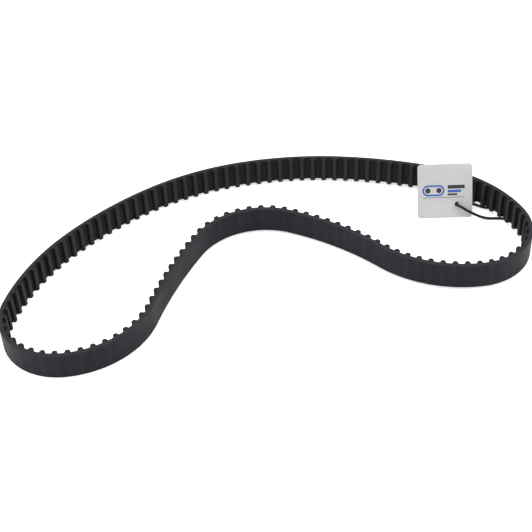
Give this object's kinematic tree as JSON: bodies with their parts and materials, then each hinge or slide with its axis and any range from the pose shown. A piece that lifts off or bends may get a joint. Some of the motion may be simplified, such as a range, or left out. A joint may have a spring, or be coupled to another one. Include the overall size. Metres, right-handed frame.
{
  "type": "timing belt",
  "caption": "Endless toothed timing belt of moulded rubber with a nylon-faced inner side, lying on edge in a loose S-shaped loop with a square card tag on a string.",
  "frame": {"origin": "the centre of the loop's box, on the belt's mid-plane", "axes": "+X along the longest extent of the loop, +Z across the belt, parallel to the pulley axes; the tag faces -Y"},
  "size_m": [0.4156, 0.2301, 0.0404],
  "materials": {
    "belt_rubber": "matte ground back",
    "tooth_rubber": "moulded",
    "nylon_fabric": "fine woven facing",
    "glass_cord": "twisted glass-fibre cord",
    "tag_card": "coated card",
    "tag_ink": "printed ink",
    "tag_cord": "twisted string"
  },
  "bodies": {
    "length_01": {"backing_01": "belt_rubber", "tensile_cords_01": "glass_cord", "teeth_01": "tooth_rubber", "nylon_facing_01": "nylon_fabric", "tag_string": "tag_cord"},
    "length_02": {"backing_02": "belt_rubber", "tensile_cords_02": "glass_cord", "teeth_02": "tooth_rubber", "nylon_facing_02": "nylon_fabric"},
    "length_03": {"backing_03": "belt_rubber", "tensile_cords_03": "glass_cord", "teeth_03": "tooth_rubber", "nylon_facing_03": "nylon_fabric"},
    "length_04": {"backing_04": "belt_rubber", "tensile_cords_04": "glass_cord", "teeth_04": "tooth_rubber", "nylon_facing_04": "nylon_fabric"},
    "length_05": {"backing_05": "belt_rubber", "tensile_cords_05": "glass_cord", "teeth_05": "tooth_rubber", "nylon_facing_05": "nylon_fabric"},
    "length_06": {"backing_06": "belt_rubber", "tensile_cords_06": "glass_cord", "teeth_06": "tooth_rubber", "nylon_facing_06": "nylon_fabric"},
    "length_07": {"backing_07": "belt_rubber", "tensile_cords_07": "glass_cord", "teeth_07": "tooth_rubber", "nylon_facing_07": "nylon_fabric"},
    "length_08": {"backing_08": "belt_rubber", "tensile_cords_08": "glass_cord", "teeth_08": "tooth_rubber", "nylon_facing_08": "nylon_fabric"},
    "length_09": {"backing_09": "belt_rubber", "tensile_cords_09": "glass_cord", "teeth_09": "tooth_rubber", "nylon_facing_09": "nylon_fabric"},
    "length_10": {"backing_10": "belt_rubber", "tensile_cords_10": "glass_cord", "teeth_10": "tooth_rubber", "nylon_facing_10": "nylon_fabric"},
    "length_11": {"backing_11": "belt_rubber", "tensile_cords_11": "glass_cord", "teeth_11": "tooth_rubber", "nylon_facing_11": "nylon_fabric"},
    "length_12": {"backing_12": "belt_rubber", "tensile_cords_12": "glass_cord", "teeth_12": "tooth_rubber", "nylon_facing_12": "nylon_fabric"},
    "length_13": {"backing_13": "belt_rubber", "tensile_cords_13": "glass_cord", "teeth_13": "tooth_rubber", "nylon_facing_13": "nylon_fabric"},
    "knot": {"string_knot": "tag_cord"},
    "tag": {"hang_tag": "tag_card"}
  },
  "joints": [
    {"name": "flex_05", "type": "hinge", "parent": "length_04", "child": "length_05", "pos_m": [0.01456, 0.04102, 0], "axis": [0, 0, 1], "range_deg": [-10, 10], "stiffness_Nm_per_rad": 0.05},
    {"name": "flex_02", "type": "hinge", "parent": "length_01", "child": "length_02", "pos_m": [0.20209, 0.02825, 0], "axis": [0, 0, 1], "range_deg": [-1.91, 1.91]},
    {"name": "flex_03", "type": "hinge", "parent": "length_02", "child": "length_03", "pos_m": [0.16273, -0.03508, 0], "axis": [0, 0, 1], "range_deg": [-6.4, 6.4]},
    {"name": "flex_04", "type": "hinge", "parent": "length_03", "child": "length_04", "pos_m": [0.08464, -0.00747, 0], "axis": [0, 0, 1], "range_deg": [-2.7, 2.7]},
    {"name": "flex_06", "type": "hinge", "parent": "length_05", "child": "length_06", "pos_m": [-0.0597, 0.01653, 0], "axis": [0, 0, 1], "range_deg": [-9.78, 9.78]},
    {"name": "flex_07", "type": "hinge", "parent": "length_06", "child": "length_07", "pos_m": [-0.09358, -0.06203, 0], "axis": [0, 0, 1], "range_deg": [-1.67, 1.67]},
    {"name": "flex_08", "type": "hinge", "parent": "length_07", "child": "length_08", "pos_m": [-0.15675, -0.11215, 0], "axis": [0, 0, 1], "range_deg": [-5.41, 5.41]},
    {"name": "flex_13", "type": "hinge", "parent": "length_01", "child": "length_13", "pos_m": [0.1443, 0.0881, 0], "axis": [0, 0, 1], "range_deg": [-7.2, 7.2]},
    {"name": "flex_12", "type": "hinge", "parent": "length_13", "child": "length_12", "pos_m": [0.06167, 0.11016, 0], "axis": [0, 0, 1], "range_deg": [-2.08, 2.08]},
    {"name": "flex_11", "type": "hinge", "parent": "length_12", "child": "length_11", "pos_m": [-0.02366, 0.10845, 0], "axis": [0, 0, 1], "range_deg": [-13.38, 13.38]},
    {"name": "flex_10", "type": "hinge", "parent": "length_11", "child": "length_10", "pos_m": [-0.10273, 0.07682, 0], "axis": [0, 0, 1], "range_deg": [-7.26, 7.26]},
    {"name": "flex_09", "type": "hinge", "parent": "length_10", "child": "length_09", "pos_m": [-0.16656, 0.02006, 0], "axis": [0, 0, 1], "range_deg": [-8.08, 8.08]},
    {"name": "tag_tip", "type": "hinge", "parent": "length_01", "child": "knot", "pos_m": [0.145, 0.05117, -0.01298], "axis": [0.9998, -0.0175, 0], "range_deg": [-6, 110], "deforming": ["tag_string"]},
    {"name": "tag_turn", "type": "hinge", "parent": "knot", "child": "tag", "pos_m": [0.1551, 0.0563, -0.003], "axis": [0, 0, 1], "range_deg": [-10, 0], "deforming": ["tag_string"]}
  ],
  "couplings": [
    {"joint": "flex_02", "follows": "flex_05", "ratio": -0.1828},
    {"joint": "flex_03", "follows": "flex_05", "ratio": -0.6225},
    {"joint": "flex_04", "follows": "flex_05", "ratio": 0.2598},
    {"joint": "flex_06", "follows": "flex_05", "ratio": 0.9535},
    {"joint": "flex_07", "follows": "flex_05", "ratio": -0.159},
    {"joint": "flex_08", "follows": "flex_05", "ratio": -0.5255},
    {"joint": "flex_13", "follows": "flex_05", "ratio": -0.7014},
    {"joint": "flex_12", "follows": "flex_05", "ratio": 0.1986},
    {"joint": "flex_11", "follows": "flex_05", "ratio": 1.307},
    {"joint": "flex_10", "follows": "flex_05", "ratio": 0.7065},
    {"joint": "flex_09", "follows": "flex_05", "ratio": -0.7871}
  ]
}
